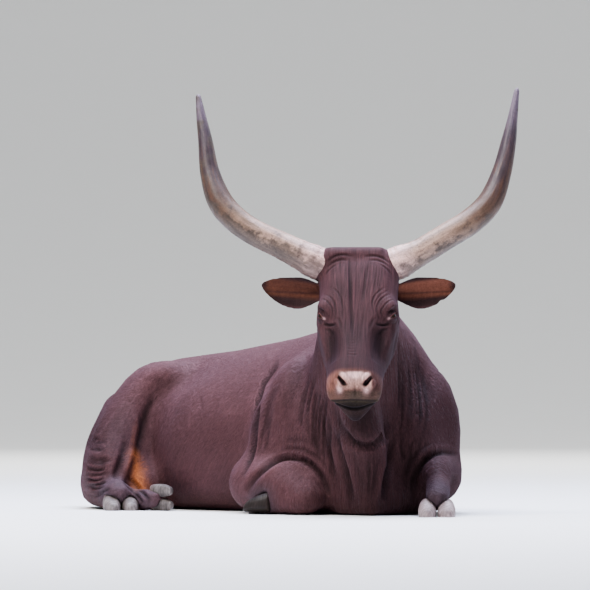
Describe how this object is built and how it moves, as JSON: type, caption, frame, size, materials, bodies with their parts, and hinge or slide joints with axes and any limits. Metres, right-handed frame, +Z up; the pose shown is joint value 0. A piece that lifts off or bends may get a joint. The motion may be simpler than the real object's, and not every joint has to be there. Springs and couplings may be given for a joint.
{
  "type": "ankole watusi cattle",
  "caption": "Life-size long-horned cow lying on its chest with folded legs, raised head, spreading upright horns, sideways ears and a tail curled on the ground; a still figure.",
  "frame": {"origin": "On the flat underside of the trunk, where the chest rests on the floor, below the shoulders.", "axes": "+Z is up from the floor. +Y runs back along the trunk from the chest to the rump. +X is the animal's left. The head looks towards -Y and off to the animal's right."},
  "size_m": [0.9262, 1.8837, 1.3215],
  "materials": {
    "coat": "short sleek dark chestnut hair over skin",
    "long_hair": "long dark hair of the tail switch",
    "horn": "ringed horn, rough at the base and smooth at the tip",
    "hoof": "grey hoof horn",
    "eye": "wet and dark"
  },
  "bodies": {
    "root": {"head": "coat", "neck": "coat", "trunk": "coat", "foreleg_left": "coat", "foreleg_right": "coat", "hindleg_left": "coat", "hindleg_right": "coat", "ear_left": "coat", "ear_right": "coat", "tail": "coat", "tail_switch": "long_hair", "horn_left": "horn", "horn_right": "horn", "eye_left": "eye", "eye_right": "eye", "claw_fore_left_inner": "hoof", "claw_fore_left_outer": "hoof", "claw_fore_right_inner": "hoof", "claw_fore_right_outer": "hoof", "claw_hind_left_inner": "hoof", "claw_hind_left_outer": "hoof", "claw_hind_right_inner": "hoof", "claw_hind_right_outer": "hoof"}
  },
  "joints": []
}
